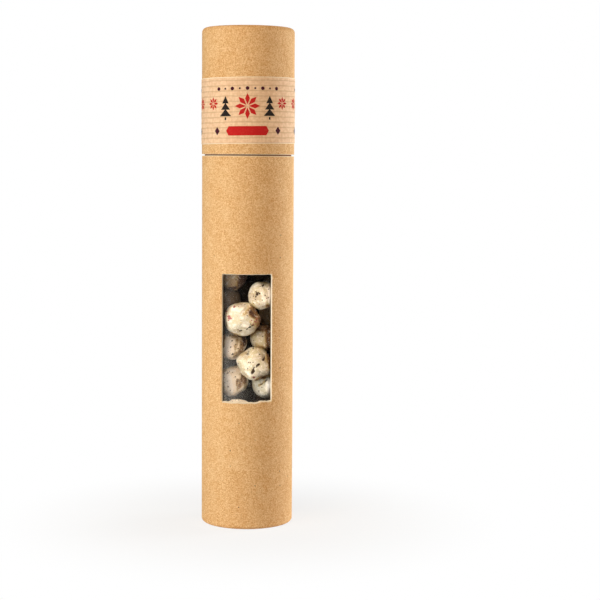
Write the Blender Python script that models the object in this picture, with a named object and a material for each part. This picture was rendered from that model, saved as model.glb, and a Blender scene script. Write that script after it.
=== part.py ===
"""A kraft paper tube box: a board tube with a window, a lift-off cap and coated sweets inside.

Metres, +Z up. The origin is on the tube's axis, on the surface that the box stands on.
The window faces -Y, and the cap lifts off along +Z.
"""

import math
import random

import bmesh
import bpy
from mathutils import Vector

mm = 0.001

# Body tube
body_radius = 25.0 * mm
body_wall = 1.2 * mm
body_height = 201.3 * mm
base_curl = 1.8 * mm  # outer radius of the edge that is turned in under the base disc

# Cap
cap_overhang = 0.1 * mm  # how far its wall stands out past the body's
cap_wall = 1.2 * mm
cap_height = 68.0 * mm
cap_curl = 2.6 * mm  # outer radius of the edge that is turned in over the cap disc
rim_gap = 0.7 * mm  # groove between the two rims with the cap on

# Turned-in edges, the same at both ends
curl_land = 0.8 * mm  # width that is pressed flat
curl_leg = 0.4 * mm  # straight run of the board's end after the turn
rim_ease = 0.25 * mm  # rounding that the knife leaves on a cut rim

# Discs that close the two ends
disc_thickness = 1.5 * mm
disc_ease = 0.3 * mm

# Neck liner, glued in the body and standing up into the cap
neck_wall = 1.0 * mm
neck_depth = 30.0 * mm
neck_rise = 24.0 * mm
neck_ease = 0.3 * mm

# Window and the clear film behind it
window_width = 27.0 * mm  # straight across, at the tube's outer surface
window_height = 69.0 * mm
window_drop = 63.3 * mm  # from the body's rim down to the window's upper edge
window_corner = 0.8 * mm
film_thickness = 0.3 * mm
film_margin = 6.0 * mm

# Paper band round the cap, lapped at the back
label_height = 34.35 * mm
label_rise = 5.85 * mm  # from the cap's rim up to the band's lower edge
label_thickness = 0.15 * mm
label_lap = 10.0 * mm
label_gap = 0.1 * mm

# Coated sweets
treat_radius = 9.3 * mm  # of the largest
fill_count = 26
lump_depth_share = 0.13
lump_waves = 4  # radians of ripple, at most, from a ball's middle to its skin
touch_reach = 0.9 * mm  # neighbours nearer than this meet on a high spot of the coating

# Clearances
seat_gap = 0.3 * mm  # between pieces that seat or slide on each other
cut_overrun = 1.0 * mm

# Facets
round_segments = 72
curl_steps = 3
fold_steps = 2
corner_steps = 3
treat_segments = 12
treat_rings = 7

# Heights and radii that follow
cap_radius = body_radius + cap_overhang
bore_radius = body_radius - body_wall
neck_radius = bore_radius - seat_gap
film_radius = bore_radius - seat_gap - film_thickness
base_disc_height = base_curl + curl_leg + seat_gap
floor_height = base_disc_height + disc_thickness + seat_gap
neck_height = body_height - neck_depth
cap_rim_height = body_height + rim_gap
cap_disc_height = cap_height - cap_curl - curl_leg - seat_gap - disc_thickness  # above the cap's rim
window_top = body_height - window_drop
window_sill = window_top - window_height
window_half_angle = math.asin(window_width / 2 / body_radius)

# The sweets that show in the window: angle from the window's middle in degrees, reach from the axis
# towards the film, height above the floor, and radius, the last two as shares of the largest's radius
front_treat_shares = (
    (-19, 1.00, 6.07, 0.94),
    (76, 0.67, 7.75, 0.83),
    (-69, 0.51, 8.00, 0.88),
    (16, 1.00, 9.11, 1.00),
    (-64, 0.54, 10.07, 0.84),
    (74, 0.57, 10.44, 0.81),
    (-13, 1.00, 11.71, 0.99),
    (-82, 0.68, 12.71, 0.80),
    (33, 1.00, 13.04, 0.82),
    (-44, 0.70, 14.15, 0.84),
)

# The sweets behind and below those are poured in
fill_size_shares = (0.94, 0.86, 1.00, 0.90, 0.82, 0.97, 0.88)
fill_reach_shares = (1.0, 0.5, 0.1)
fill_spokes = 24
view_angle = 52  # degrees each side of the window's middle that its own sweets have to themselves
film_shadow = 60  # degrees each side of the window's middle where a ball leans on the film, not the wall
high_spot = math.cos(math.radians(20))
high_spot_edge = math.cos(math.radians(50))

kraft = (0.58, 0.36, 0.17)
kraft_cap = (0.57, 0.35, 0.16)
kraft_disc = (0.54, 0.34, 0.17)
kraft_neck = (0.63, 0.45, 0.27)
band_paper = (0.72, 0.52, 0.33)
clear_film = (0.93, 0.95, 0.96)
sweet_coating = (0.80, 0.70, 0.55)


def clear_scene():
    for thing in list(bpy.context.scene.objects):
        bpy.data.objects.remove(thing, do_unlink=True)


def finish(name, colour, roughness, alpha=1.0):
    """A Principled material named after its piece."""
    material = bpy.data.materials.new(name)
    material.use_nodes = True
    shader = material.node_tree.nodes["Principled BSDF"]
    shader.inputs["Base Color"].default_value = (*colour, 1.0)
    shader.inputs["Roughness"].default_value = roughness
    shader.inputs["Metallic"].default_value = 0.0
    shader.inputs["Alpha"].default_value = alpha
    return material


def place(name, bm, material, parent=None, height=0.0):
    """Turns a bmesh into a named object at this height above its parent."""
    mesh = bpy.data.meshes.new(name)
    bm.to_mesh(mesh)
    bm.free()
    mesh.shade_smooth()
    mesh.set_sharp_from_angle(angle=math.radians(35))
    mesh.materials.append(material)
    piece = bpy.data.objects.new(name, mesh)
    bpy.context.scene.collection.objects.link(piece)
    piece.parent = parent
    piece.location.z = height
    return piece


def holder(name, parent=None, height=0.0):
    """An empty on the tube's axis that carries one body of the box."""
    empty = bpy.data.objects.new(name, None)
    bpy.context.scene.collection.objects.link(empty)
    empty.parent = parent
    empty.location.z = height
    return empty


def arc(middle, height, radius, start, end, steps):
    """Points (r, z) on an arc, with its angles in degrees from +r towards +z."""
    turns = [math.radians(start + (end - start) * step / steps) for step in range(steps + 1)]
    return [(middle + radius * math.cos(a), height + radius * math.sin(a)) for a in turns]


def curled_profile(radius, wall, height, curl):
    """The wall of a tube with its cut rim at z = 0 and its top edge turned in and pressed flat."""
    outer = radius - curl
    inner = outer - curl_land
    top = height - curl
    fold = curl - wall
    return (
        [(radius - rim_ease, 0), (radius, rim_ease)]
        + arc(outer, top, curl, 0, 90, curl_steps)
        + arc(inner, top, curl, 90, 180, curl_steps)
        + [(inner - curl, top - curl_leg), (inner - fold, top - curl_leg)]
        + arc(inner, top, fold, 180, 90, fold_steps)
        + arc(outer, top, fold, 90, 0, fold_steps)
        + [(radius - wall, rim_ease), (radius - wall + rim_ease, 0)]
    )


def turned(profile):
    """A ring: the closed (r, z) profile carried once round the Z axis."""
    bm = bmesh.new()
    corners = [bm.verts.new((r, 0, z)) for r, z in profile]
    edges = [bm.edges.new((a, b)) for a, b in zip(corners, corners[1:] + corners[:1])]
    bmesh.ops.spin(
        bm,
        geom=corners + edges,
        axis=(0, 0, 1),
        cent=(0, 0, 0),
        angle=2 * math.pi,
        steps=round_segments,
        use_merge=True,
    )
    bmesh.ops.recalc_face_normals(bm, faces=bm.faces)
    return bm


def disc(radius):
    """A flat board disc standing on z = 0, with its two edges eased."""
    bm = bmesh.new()
    bmesh.ops.create_cone(
        bm, cap_ends=True, segments=round_segments, radius1=radius, radius2=radius, depth=disc_thickness
    )
    bmesh.ops.translate(bm, verts=bm.verts, vec=(0, 0, disc_thickness / 2))
    rims = [edge for edge in bm.edges if edge.verts[0].co.z == edge.verts[1].co.z]
    bmesh.ops.bevel(bm, geom=rims, offset=disc_ease, segments=1, affect="EDGES")
    return bm


def sheet(path, low, high):
    """A paper or film sheet one face thick: the (angle, radius) path, from low to high, facing out."""
    bm = bmesh.new()
    columns = [
        [bm.verts.new((radius * math.cos(a), radius * math.sin(a), z)) for z in (low, high)]
        for a, radius in path
    ]
    for (a, b), (c, d) in zip(columns, columns[1:]):
        bm.faces.new((a, c, d, b))
    return bm


def thicken(piece, thickness):
    """Gives a sheet its thickness, outwards."""
    solidify = piece.modifiers.new("Thickness", "SOLIDIFY")
    solidify.thickness = thickness
    solidify.offset = 1
    return piece


def window_cutter():
    """A wedge with its sides on the tube's radii, so that the window's cut edges stand square to the wall."""
    near = bore_radius - cut_overrun
    far = (body_radius + cut_overrun) / math.cos(window_half_angle)
    bm = bmesh.new()
    rings = [
        [
            bm.verts.new((radius * math.sin(angle), -radius * math.cos(angle), z))
            for radius, angle in (
                (near, -window_half_angle),
                (far, -window_half_angle),
                (far, window_half_angle),
                (near, window_half_angle),
            )
        ]
        for z in (window_sill, window_top)
    ]
    low, high = rings
    bm.faces.new(low)
    bm.faces.new(high)
    sides = [bm.faces.new((low[i], low[i - 1], high[i - 1], high[i])) for i in range(len(low))]
    radial = [sides[1], sides[3]]
    corners = [
        edge
        for face in radial
        for edge in face.edges
        if edge.verts[0].co.z == edge.verts[1].co.z
    ]
    bmesh.ops.bevel(
        bm, geom=corners, offset=window_corner, segments=corner_steps, profile=0.5, affect="EDGES"
    )
    bmesh.ops.recalc_face_normals(bm, faces=bm.faces)
    return bm


def body_tube(root):
    profile = curled_profile(body_radius, body_wall, body_height, base_curl)
    upright = [(r, body_height - z) for r, z in profile]
    tube = place("body_tube", turned(upright), finish("body_kraft", kraft, 0.85), root)
    cutter = place("window_cutter", window_cutter(), finish("cutter", kraft, 1.0), root)
    cutter.hide_render = True
    cutter.display_type = "WIRE"
    cut = tube.modifiers.new("Window", "BOOLEAN")
    cut.operation = "DIFFERENCE"
    cut.object = cutter
    cut.solver = "EXACT"


def base_disc(root):
    board = disc(bore_radius - seat_gap)
    place("base_disc", board, finish("base_board", kraft_disc, 0.9), root, base_disc_height)


def neck_liner(root):
    length = neck_depth + neck_rise
    inner = neck_radius - neck_wall
    profile = [
        (neck_radius, 0),
        (neck_radius, length - neck_ease),
        (neck_radius - neck_ease, length),
        (inner + neck_ease, length),
        (inner, length - neck_ease),
        (inner, 0),
    ]
    place("neck_liner", turned(profile), finish("neck_board", kraft_neck, 0.85), root, neck_height)


def window_film(root):
    half = window_half_angle + film_margin / film_radius
    steps = round_segments // 3
    path = [
        (-math.pi / 2 - half + 2 * half * step / steps, film_radius)
        for step in range(steps + 1)
    ]
    film = sheet(path, window_sill - film_margin, window_top + film_margin)
    piece = place("window_film", film, finish("clear_film", clear_film, 0.08, alpha=0.25), root)
    thicken(piece, film_thickness)


def cap_sleeve(cap):
    profile = curled_profile(cap_radius, cap_wall, cap_height, cap_curl)
    place("cap_sleeve", turned(profile), finish("cap_kraft", kraft_cap, 0.85), cap)


def cap_disc(cap):
    board = disc(cap_radius - cap_wall - seat_gap)
    place("cap_disc", board, finish("cap_board", kraft_disc, 0.9), cap, cap_disc_height)


def label_band(cap):
    """One strip wound once round the cap from the back, with its end lapped over its start."""
    under = cap_radius + label_gap
    over = under + label_thickness + label_gap
    step = 2 * math.pi / round_segments
    lap = label_lap / over
    path = [(math.pi / 2 + step * index, under) for index in range(round_segments)]
    lap_steps = max(1, round(lap / step))
    path += [(5 * math.pi / 2 + lap * index / lap_steps, over) for index in range(lap_steps + 1)]
    band = sheet(path, 0, label_height)
    piece = place("label_band", band, finish("band_paper", band_paper, 0.8), cap, label_rise)
    thicken(piece, label_thickness)


def free_height(x, y, radius, start, placed):
    """The first height from start upwards at which a ball at (x, y) clears all those placed."""
    spans = []
    for other_x, other_y, other_z, other_radius in placed:
        reach = radius + other_radius + seat_gap
        apart = math.hypot(x - other_x, y - other_y)
        if apart < reach:
            rise = math.sqrt(reach**2 - apart**2)
            spans.append((other_z - rise, other_z + rise))
    height = start
    for low, high in sorted(spans):
        if low < height < high:
            height = high
    return height


def lining(angle, top):
    """Radius of the neck, film or bare wall that a ball at this angle, reaching up to top, leans on."""
    if top > neck_height:
        return neck_radius - neck_wall
    return film_radius if abs(angle) < film_shadow else bore_radius


def spot(angle, reach_share, radius, top=0.0):
    """The (x, y) of a ball at this angle in degrees from the window's middle, between axis and lining."""
    reach = (lining(angle, top) - seat_gap - radius) * reach_share
    return reach * math.sin(math.radians(angle)), -reach * math.cos(math.radians(angle))


def poured(angle, reach_share, radius, start, placed):
    """A ball in the lowest free place from start upwards, drawn in where it stands up into the neck."""
    x, y = spot(angle, reach_share, radius)
    z = free_height(x, y, radius, start, placed)
    if z + radius > neck_height:
        x, y = spot(angle, reach_share, radius, z + radius)
        z = free_height(x, y, radius, start, placed)
    return x, y, z, radius


def front_treats():
    """(x, y, z, radius) of each sweet that shows in the window."""
    placed = []
    for angle, reach_share, height_share, size_share in front_treat_shares:
        start = floor_height + treat_radius * height_share
        placed.append(poured(angle, reach_share, treat_radius * size_share, start, placed))
    return placed


def poured_treats():
    """(x, y, z, radius) of each ball: those in the window, then the rest, each in the lowest free place."""
    placed = front_treats()
    kept_clear = placed[0][2], placed[-1][2] + placed[-1][3]
    for index in range(fill_count):
        radius = treat_radius * fill_size_shares[index % len(fill_size_shares)]
        places = []
        for reach_share in fill_reach_shares:
            for spoke in range(fill_spokes):
                angle = 180 - 360 * spoke / fill_spokes
                ball = poured(angle, reach_share, radius, floor_height + radius, placed)
                if abs(angle) > view_angle or not kept_clear[0] < ball[2] < kept_clear[1]:
                    places.append(ball)
        placed.append(min(places, key=lambda ball: ball[2]))
    return settled(placed)


def settled(placed):
    """From the lowest up, a ball that meets nothing already held falls straight down until it does."""
    held = []
    for index in sorted(range(len(placed)), key=lambda index: placed[index][2]):
        if not touches(placed[index], held):
            placed[index] = resting(placed[index], held)
        held.append(placed[index])
    return placed


def resting(ball, placed):
    """The ball moved straight down to where it rests."""
    x, y, z, radius = ball
    rest = floor_height + radius
    for other_x, other_y, other_z, other_radius in placed:
        reach = radius + other_radius + seat_gap
        apart = math.hypot(x - other_x, y - other_y)
        if other_z < z and apart < reach:
            rest = max(rest, other_z + math.sqrt(reach**2 - apart**2))
    return x, y, rest, radius


def touches(ball, placed):
    """Directions in which a ball meets its neighbours, the floor and the wall or film."""
    x, y, z, radius = ball
    found = []
    for other in placed:
        away = Vector(other[:3]) - Vector(ball[:3])
        if 0 < away.length < radius + other[3] + touch_reach:
            found.append(away.normalized())
    if z - radius - floor_height < touch_reach:
        found.append(Vector((0, 0, -1)))
    reach = Vector((x, y, 0))
    if bore_radius - reach.length - radius < 2 * touch_reach:
        found.append(reach.normalized())
    return found


def treat(radius, seed, meets):
    """A ball with a lumpy coating that fills its radius only where it meets something."""
    draw = random.Random(seed)
    waves = [
        (Vector([draw.uniform(-lump_waves, lump_waves) for _ in range(3)]), draw.uniform(0, 2 * math.pi))
        for _ in range(3)
    ]
    bm = bmesh.new()
    bmesh.ops.create_uvsphere(bm, u_segments=treat_segments, v_segments=treat_rings, radius=1)
    for corner in bm.verts:
        out = corner.co.normalized()
        lumps = sum(math.sin(out.dot(way) + phase) for way, phase in waves) / len(waves)
        nearest = max((out.dot(way) for way in meets), default=-1)
        hollow = 1 - min(max((nearest - high_spot_edge) / (high_spot - high_spot_edge), 0), 1)
        corner.co = out * radius * (1 - lump_depth_share * hollow * (0.5 + 0.5 * lumps))
    return bm


def treats(root):
    coating = finish("sweet_coating", sweet_coating, 0.55)
    placed = poured_treats()
    for index, ball in enumerate(placed, start=1):
        x, y, z, radius = ball
        shape = treat(radius, index, touches(ball, placed))
        piece = place(f"treat_{index:02d}", shape, coating, root, z)
        piece.location.x = x
        piece.location.y = y


def build():
    clear_scene()
    root = holder("tube")
    body_tube(root)
    base_disc(root)
    neck_liner(root)
    window_film(root)
    treats(root)
    cap = holder("cap", root, cap_rim_height)
    cap_sleeve(cap)
    cap_disc(cap)
    label_band(cap)


build()
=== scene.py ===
import math

import bpy
import numpy as np
from mathutils import Matrix, Vector


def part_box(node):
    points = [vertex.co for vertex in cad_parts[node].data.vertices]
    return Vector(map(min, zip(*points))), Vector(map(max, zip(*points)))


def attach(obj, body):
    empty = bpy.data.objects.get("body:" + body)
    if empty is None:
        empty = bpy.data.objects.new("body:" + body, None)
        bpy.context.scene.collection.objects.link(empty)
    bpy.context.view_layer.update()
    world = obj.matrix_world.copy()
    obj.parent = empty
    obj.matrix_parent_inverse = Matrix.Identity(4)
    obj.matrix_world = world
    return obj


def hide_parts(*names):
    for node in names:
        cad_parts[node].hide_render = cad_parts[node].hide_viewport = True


mm = 0.001
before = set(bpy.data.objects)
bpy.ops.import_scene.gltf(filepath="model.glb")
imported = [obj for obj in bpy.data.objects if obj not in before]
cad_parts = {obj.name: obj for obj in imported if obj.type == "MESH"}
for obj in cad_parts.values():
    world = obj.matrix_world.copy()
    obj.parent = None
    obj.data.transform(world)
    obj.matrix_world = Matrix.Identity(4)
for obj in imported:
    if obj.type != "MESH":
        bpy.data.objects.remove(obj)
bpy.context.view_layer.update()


# Meshes

creaseAngle = math.radians(38)  # edges that turn by more than this stay crisp


def putObject(name, data):
    thing = bpy.data.objects.new(name, data)
    bpy.context.scene.collection.objects.link(thing)
    return thing


# Quads of a grid of rows x columns vertices, numbered row by row; a closed side joins its end to its start
def gridCells(rows, columns, closeRows=False, closeColumns=False):
    ids = np.arange(rows * columns).reshape(rows, columns)
    if closeRows:
        ids = np.vstack([ids, ids[:1]])
    if closeColumns:
        ids = np.hstack([ids, ids[:, :1]])
    corners = [ids[:-1, :-1], ids[:-1, 1:], ids[1:, 1:], ids[1:, :-1]]
    return np.stack(corners, axis=-1).reshape(-1, 4)


# Vertex numbers once round the edge of the block of rows and columns, each given as (first, last)
def blockEdge(ids, rows, columns):
    block = ids[rows[0]:rows[1] + 1, columns[0]:columns[1] + 1]
    return np.concatenate([block[0, :-1], block[:-1, -1], block[-1, :0:-1], block[:0:-1, 0]])


# Sets a mesh from whole arrays: points (n, 3), groups of cells whose last axis holds their 3 or 4 corners,
# and a finish for each group
def makePiece(name, points, cellGroups, finishes, body, stands=(), wrap=None, layers=None):
    cellGroups = [cells.reshape(-1, cells.shape[-1]) for cells in cellGroups]
    mesh = bpy.data.meshes.new(name)
    corners = np.concatenate([cells.ravel() for cells in cellGroups])
    sizes = np.concatenate([np.full(len(cells), cells.shape[1]) for cells in cellGroups])
    starts = np.concatenate([[0], np.cumsum(sizes)[:-1]])
    mesh.vertices.add(len(points))
    mesh.vertices.foreach_set("co", points.astype(np.float32).ravel())
    mesh.loops.add(len(corners))
    mesh.loops.foreach_set("vertex_index", corners.astype(np.int32))
    mesh.polygons.add(len(sizes))
    mesh.polygons.foreach_set("loop_start", starts.astype(np.int32))
    used = list(dict.fromkeys(finishes))
    for material in used:
        mesh.materials.append(material)
    order = [np.full(len(cells), used.index(finish)) for cells, finish in zip(cellGroups, finishes)]
    mesh.polygons.foreach_set("material_index", np.concatenate(order).astype(np.int32))
    mesh.update(calc_edges=True)
    if wrap is not None:
        mesh.uv_layers.new(name="wrap").uv.foreach_set("vector", wrap[corners].astype(np.float32).ravel())
    for layer, values in (layers or {}).items():
        attribute = mesh.attributes.new(layer, "FLOAT", "POINT")
        attribute.data.foreach_set("value", values.astype(np.float32))
    mesh.validate()
    mesh.shade_smooth()
    mesh.set_sharp_from_angle(angle=creaseAngle)
    piece = putObject(name, mesh)
    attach(piece, body)
    if stands:
        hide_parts(*stands)


# Point at this radius, angle round the tube from the window's middle towards +X, and height
def roundTube(radius, angle, height):
    radius, angle, height = np.broadcast_arrays(radius, angle, height)
    return np.stack([radius * np.sin(angle), -radius * np.cos(angle), height], axis=-1)


# Points (r, z) on an arc about (middle, height), its angles in degrees from +r towards +z
def arc(middle, height, radius, start, end, steps):
    turn = np.radians(np.linspace(start, end, steps + 1))
    return np.column_stack([middle + radius * np.cos(turn), height + radius * np.sin(turn)])


# A section (r, z) carried once round the axis: its points, and its cells as rows x columns x corners
def turnedShape(section, columns, closed=True):
    angles = np.linspace(0, math.tau, columns, endpoint=False)
    points = roundTube(section[:, :1], angles[None], section[:, 1:])
    cells = gridCells(len(section), columns, closeRows=closed, closeColumns=True)
    return points.reshape(-1, 3), cells.reshape(-1, columns, 4)


# Triangles that close the first row and the last one, each with a middle point numbered after the rows
def poleFans(rows, columns):
    around = np.arange(columns)
    onward = np.roll(around, -1)
    last = (rows - 1) * columns
    return np.vstack([
        np.column_stack([np.full(columns, rows * columns), onward, around]),
        np.column_stack([np.full(columns, rows * columns + 1), last + around, last + onward]),
    ])


# A front and a back grid joined round their edges into one closed shell
def closedShell(front, back):
    rows, columns = front.shape[:2]
    ids = np.arange(rows * columns).reshape(rows, columns)
    edge = blockEdge(ids, (0, rows - 1), (0, columns - 1))
    behind = edge + rows * columns
    rim = np.stack([edge, behind, np.roll(behind, -1), np.roll(edge, -1)], axis=-1)
    cells = gridCells(rows, columns)
    points = np.concatenate([front.reshape(-1, 3), back.reshape(-1, 3)])
    return points, [cells, cells[:, ::-1] + rows * columns, rim]


# Material nodes

def addNode(tree, kind, inputs=None, **settings):
    node = tree.nodes.new(kind)
    for name, value in settings.items():
        setattr(node, name, value)
    for name, value in (inputs or {}).items():
        if isinstance(value, bpy.types.NodeSocket):
            tree.links.new(value, node.inputs[name])
        else:
            node.inputs[name].default_value = value
    return node


def objectPoint(tree, stretch=(1, 1, 1)):
    place = addNode(tree, "ShaderNodeTexCoord").outputs["Object"]
    if stretch == (1, 1, 1):
        return place
    return addNode(tree, "ShaderNodeMapping", {"Vector": place, "Scale": stretch}).outputs["Vector"]


def axes(tree, place):
    return addNode(tree, "ShaderNodeSeparateXYZ", {"Vector": place}).outputs


# Soft noise with features about this size, in metres
def grain(tree, place, size, detail=2.0, roughness=0.5, warp=0.0):
    settings = {"Scale": 1 / size, "Detail": detail, "Roughness": roughness, "Distortion": warp}
    return addNode(tree, "ShaderNodeTexNoise", {"Vector": place, **settings}).outputs["Fac"]


# A value's place between low and high, eased at both ends, as a place between outLow and outHigh
def spread(tree, value, low, high, outLow=0.0, outHigh=1.0):
    ends = {"Value": value, "From Min": low, "From Max": high, "To Min": outLow, "To Max": outHigh}
    return addNode(tree, "ShaderNodeMapRange", ends, interpolation_type="SMOOTHSTEP").outputs["Result"]


# Sum of two values, or what another kind of maths node makes of them
def reckon(tree, first, second, kind="ADD", third=0.5):
    return addNode(tree, "ShaderNodeMath", {0: first, 1: second, 2: third}, operation=kind).outputs[0]


def blendColours(tree, share, under, over, kind="MIX"):
    under = (*under, 1.0) if isinstance(under, tuple) else under
    over = (*over, 1.0) if isinstance(over, tuple) else over
    sockets = {0: share, 6: under, 7: over}
    return addNode(tree, "ShaderNodeMix", sockets, data_type="RGBA", blend_type=kind).outputs[2]


# Stripes of this pitch along a coordinate, pushed aside by the sway, in radians; ends are those of spread
def stripes(tree, along, pitch, sway, *ends):
    phase = reckon(tree, along, math.tau / pitch, "MULTIPLY_ADD", sway)
    return spread(tree, reckon(tree, phase, 0, "SINE"), *ends)


# Scattered flecks: cells of this size, of which only some hold a fleck this wide
def flecks(tree, place, cell, width, amount):
    cells = addNode(tree, "ShaderNodeTexVoronoi", {"Vector": place, "Scale": 1 / cell})
    chosen = addNode(tree, "ShaderNodeSeparateColor", {"Color": cells.outputs["Color"]})
    here = spread(tree, chosen.outputs["Red"], amount, amount * 0.8)
    near = spread(tree, cells.outputs["Distance"], width, width * 0.5)
    return reckon(tree, here, near, "MULTIPLY")


def newFinish(name, roughness, specular):
    material = bpy.data.materials.new(name)
    material.use_nodes = True
    shader = material.node_tree.nodes["Principled BSDF"]
    shader.inputs["Roughness"].default_value = roughness
    shader.inputs["Specular IOR Level"].default_value = specular
    return material, material.node_tree, shader


# Gives a surface its colour, and a relief this deep from the height
def coverWith(tree, shader, colour, height, depth):
    bump = addNode(tree, "ShaderNodeBump", {"Height": height, "Distance": depth, "Strength": 1.0})
    tree.links.new(bump.outputs["Normal"], shader.inputs["Normal"])
    tree.links.new(colour, shader.inputs["Base Color"])


# How each kraft and board mixes its noises: weights of clouds, mottle and grain, then where each tone shows
paperMix = {
    "roughness": 0.85,
    "specular": 0.15,
    "cloud": 0.2,
    "mottle": 0.4,
    "grain": 1.3,
    "level": -0.35,  # brings the mean of the three back to a half
    "litShows": (0.15, 0.85),
    "paleShows": (0.60, 0.74, 0, 0.45),
    "fibreShows": (0.38, 0.26, 0, 0.35),
    "shives": (1.3 * mm, 0.20, 0.30),
    "specks": (4.4 * mm, 0.10, 0.15),
    "edgeMarkShare": 0.85,
}

# Kraft paper: faint clouds, a fine mottle and grain, short level fibres and a few dark specks
kraftPaper = {
    "shade": (0.66, 0.315, 0.098),
    "lit": (0.93, 0.635, 0.335),
    "pale": (0.96, 0.68, 0.39),
    "fibre": (0.52, 0.25, 0.08),
    # Paler band along the body's rim: partly a worn edge, partly a painted highlight
    "edgeWearLightShade": (1.0, 0.85, 0.62),
    "speck": (0.16, 0.07, 0.025),
    "cloudSize": 9 * mm,
    "mottleSize": 1.9 * mm,
    "grainSize": 0.62 * mm,
    "fibreSize": 0.45 * mm,
    "reliefDepth": 0.012 * mm,
}


# Edge marks are given as pairs of a height and how far the mark reaches from it: a paler band that is
# partly worn edge and partly painted highlight, or a line of painted shade
def kraftFinish(name, look, edgeMarksAt=(), mix=paperMix):
    material, tree, shader = newFinish(name, mix["roughness"], mix["specular"])
    place = objectPoint(tree)
    cloud = grain(tree, place, look["cloudSize"], 2)
    mottle = grain(tree, place, look["mottleSize"], 2, 0.6, 0.3)
    fine = grain(tree, place, look["grainSize"], 1, 0.5)
    mixed = reckon(tree, cloud, mix["cloud"], "MULTIPLY_ADD", -mix["cloud"] / 2)
    mixed = reckon(tree, mixed, reckon(tree, mottle, mix["mottle"], "MULTIPLY"))
    mixed = reckon(tree, fine, mix["grain"], "MULTIPLY_ADD", reckon(tree, mixed, mix["level"]))
    colour = blendColours(tree, spread(tree, mixed, *mix["litShows"]), look["shade"], look["lit"])
    along = grain(tree, objectPoint(tree, (1, 1, 3.5)), look["fibreSize"] * 2, 1, 0.5, 0.8)
    colour = blendColours(tree, spread(tree, along, *mix["paleShows"]), colour, look["pale"])
    colour = blendColours(tree, spread(tree, along, *mix["fibreShows"]), colour, look["fibre"])
    colour = blendColours(tree, flecks(tree, place, *mix["shives"]), colour, look["fibre"])
    colour = blendColours(tree, flecks(tree, place, *mix["specks"]), colour, look["speck"])
    # Each edge mark blends towards the paper's edge colour: paler for the worn edge with its painted
    # highlight, darker for painted shade
    for height, reach in edgeMarksAt:
        away = reckon(tree, reckon(tree, axes(tree, place)["Z"], -height), 0, "ABSOLUTE")
        ragged = reckon(tree, mottle, 0.5 * reach, "MULTIPLY_ADD", away)
        worn = spread(tree, ragged, reach, 0.35 * reach, 0, mix["edgeMarkShare"])
        colour = blendColours(tree, worn, colour, look["edgeWearLightShade"])
    coverWith(tree, shader, colour, mixed, look["reliefDepth"])
    return material


# Cut board: pale plies side by side
cutBoard = {
    "pale": (1.0, 0.87, 0.68),
    "ply": (0.66, 0.42, 0.22),
    "plyWidth": 0.3 * mm,
    "plyShare": 0.25,
    "wobbleSize": 2.5 * mm,
    "wobble": 5,  # radians by which the plies wander
    "reliefDepth": 0.05 * mm,
}


def cutBoardFinish(name, look):
    material, tree, shader = newFinish(name, roughness=0.9, specular=0.2)
    place = objectPoint(tree)
    split = axes(tree, place)
    squared = reckon(tree, split["X"], split["X"], "MULTIPLY")
    squared = reckon(tree, split["Y"], split["Y"], "MULTIPLY_ADD", squared)
    radius = reckon(tree, squared, 0.5, "POWER")
    wobble = grain(tree, place, look["wobbleSize"], 2)
    sway = reckon(tree, wobble, look["wobble"], "MULTIPLY")
    plies = stripes(tree, radius, look["plyWidth"], sway, 0.2, 0.95, 0, look["plyShare"])
    colour = blendColours(tree, plies, look["pale"], look["ply"])
    coverWith(tree, shader, colour, wobble, look["reliefDepth"])
    return material


# Pasted board of the neck: browner, with coarser fibres
plainBoard = {
    "shade": (0.25, 0.110, 0.044),
    "lit": (0.47, 0.245, 0.115),
    "pale": (0.55, 0.32, 0.18),
    "fibre": (0.16, 0.065, 0.026),
    "edgeWearLightShade": (0.21, 0.045, 0.012),  # here painted shade along the groove between cap and body
    "speck": (0.08, 0.035, 0.02),
    "cloudSize": 12 * mm,
    "mottleSize": 2.2 * mm,
    "grainSize": 0.5 * mm,
    "fibreSize": 0.8 * mm,
    "reliefDepth": 0.07 * mm,
}

# The discs' faces: a coarser, duller kraft than the tubes' own
discPaper = {
    "shade": (0.44, 0.225, 0.085),
    "lit": (0.68, 0.43, 0.22),
    "pale": (0.74, 0.51, 0.30),
    "fibre": (0.34, 0.17, 0.065),
    "speck": (0.14, 0.065, 0.03),
    "cloudSize": 12 * mm,
    "mottleSize": 2.2 * mm,
    "grainSize": 0.6 * mm,
    "fibreSize": 0.8 * mm,
    "reliefDepth": 0.05 * mm,
}


# Lining of the tube and neck: a near-black colour that paints the shade inside the closed tube, with a dull
# metal sheen, creased a little by the winding
liningPaintedShade = {
    "dark": (0.020, 0.0135, 0.0075),
    "grey": (0.054, 0.040, 0.026),
    "metal": 0.5,
    "creaseSize": 7 * mm,
    "reliefDepth": 0.25 * mm,
}


def liningFinish(look):
    material, tree, shader = newFinish("liningPaintedShade", roughness=0.55, specular=0.3)
    shader.inputs["Metallic"].default_value = look["metal"]
    crease = grain(tree, objectPoint(tree, (1, 1, 0.4)), look["creaseSize"], 4, 0.55, 1.2)
    colour = blendColours(tree, spread(tree, crease, 0.35, 0.7), look["dark"], look["grey"])
    coverWith(tree, shader, colour, crease, look["reliefDepth"])
    return material


# Laid kraft paper of the band: level ribs, fine upright threads and pale edges
bandPaper = {
    "ground": (1.0, 0.71, 0.465),
    "shade": (0.84, 0.54, 0.32),
    "rib": (0.60, 0.35, 0.185),
    "edge": (1.0, 0.85, 0.64),
    "ribPitch": 2.75 * mm,
    "threadPitch": 0.9 * mm,
    "ribShare": 0.48,
    "threadShare": 0.20,
    "edgeWidth": 0.45 * mm,
    "blotchSize": 1.6 * mm,
    "swaySize": 7 * mm,
    "sway": 1.6,  # radians by which ribs and threads wander
    "reliefDepth": 0.03 * mm,
}


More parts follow.
